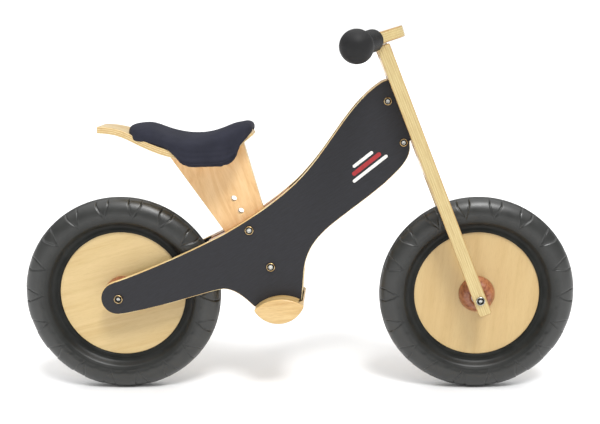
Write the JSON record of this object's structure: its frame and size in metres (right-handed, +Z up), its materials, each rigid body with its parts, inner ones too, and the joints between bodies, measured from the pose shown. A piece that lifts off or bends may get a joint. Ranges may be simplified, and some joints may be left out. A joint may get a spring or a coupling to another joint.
{
  "type": "balance bike",
  "caption": "Child's wooden balance bike: two side panels, swivelling fork with one-piece handlebar, plywood disc wheels, padded seat and footrest; no pedals.",
  "frame": {"origin": "on the floor, midway between the two axles, on the bike's middle plane", "axes": "+X forward, +Y to the rider's left, +Z up"},
  "size_m": [0.861, 0.3508, 0.5674],
  "materials": {
    "stained_panel": "dark satin stain on plywood",
    "beech_block": "clear lacquer",
    "nylon": "moulded",
    "brassed_steel": "brass-plated steel, polished",
    "post_ply": "clear lacquer",
    "spacer_wood": "clear lacquer",
    "seat_ply": "bent birch plywood, clear lacquer",
    "steel": "zinc plated",
    "seat_foam": "upholstery foam",
    "seat_fabric": "woven nylon cover",
    "footrest_wood": "clear lacquer",
    "tyre_rubber": "moulded rubber, matte",
    "core_foam": "closed-cell foam",
    "disc_ply": "birch plywood, clear lacquer",
    "hub_wood": "turned and stained hardwood",
    "shield_rubber": "moulded",
    "fork_wood": "laminated ash or birch, clear lacquer",
    "grip_rubber": "moulded, matte"
  },
  "bodies": {
    "frame": {"frame_panel_right": "stained_panel", "frame_panel_left": "stained_panel", "head_block": "beech_block", "head_bush_upper": "nylon", "head_bush_lower": "nylon", "head_bolts": "brassed_steel", "head_bolt_nuts": "brassed_steel", "seat_post": "post_ply", "seat_spacer_right": "spacer_wood", "seat_spacer_left": "spacer_wood", "seat_cleats": "beech_block", "seat_board": "seat_ply", "seat_board_screws": "steel", "seat_foam": "seat_foam", "seat_cover": "seat_fabric", "seat_bolts": "brassed_steel", "seat_bolt_nuts": "brassed_steel", "footrest": "footrest_wood", "footrest_screws": "steel", "rear_axle": "steel", "rear_axle_bolts": "brassed_steel", "rear_axle_spacers": "steel", "rear_bearing_inner_races": "steel"},
    "rear_wheel": {"rear_tyre": "tyre_rubber", "rear_tyre_core": "core_foam", "rear_disc": "disc_ply", "rear_hub_right": "hub_wood", "rear_hub_left": "hub_wood", "rear_bearing_outer_races": "steel", "rear_bearing_balls": "steel", "rear_bearing_shields": "shield_rubber"},
    "fork": {"fork_leg_right": "fork_wood", "fork_leg_left": "fork_wood", "fork_crown_upper": "fork_wood", "fork_crown_lower": "fork_wood", "crown_dowels": "beech_block", "handlebar": "fork_wood", "handlebar_screws": "steel", "handlebar_spacers": "nylon", "grip_right": "grip_rubber", "grip_left": "grip_rubber", "steering_bolt": "steel", "steering_nut": "steel", "steering_washers": "steel", "front_axle": "steel", "front_axle_bolts": "steel", "front_axle_spacers": "steel", "front_bearing_inner_races": "steel"},
    "front_wheel": {"front_tyre": "tyre_rubber", "front_tyre_core": "core_foam", "front_disc": "disc_ply", "front_hub_right": "hub_wood", "front_hub_left": "hub_wood", "front_bearing_outer_races": "steel", "front_bearing_balls": "steel", "front_bearing_shields": "shield_rubber"}
  },
  "joints": [
    {"name": "steering", "type": "hinge", "parent": "frame", "child": "fork", "pos_m": [0.2775, 0, 0.153], "axis": [-0.3665, 0, 0.9304], "range_deg": [-35, 35]},
    {"name": "rear_wheel_spin", "type": "hinge", "parent": "frame", "child": "rear_wheel", "pos_m": [-0.2775, 0, 0.153], "axis": [0, 1, 0], "continuous": true},
    {"name": "front_wheel_spin", "type": "hinge", "parent": "fork", "child": "front_wheel", "pos_m": [0.2775, 0, 0.153], "axis": [0, 1, 0], "continuous": true}
  ]
}
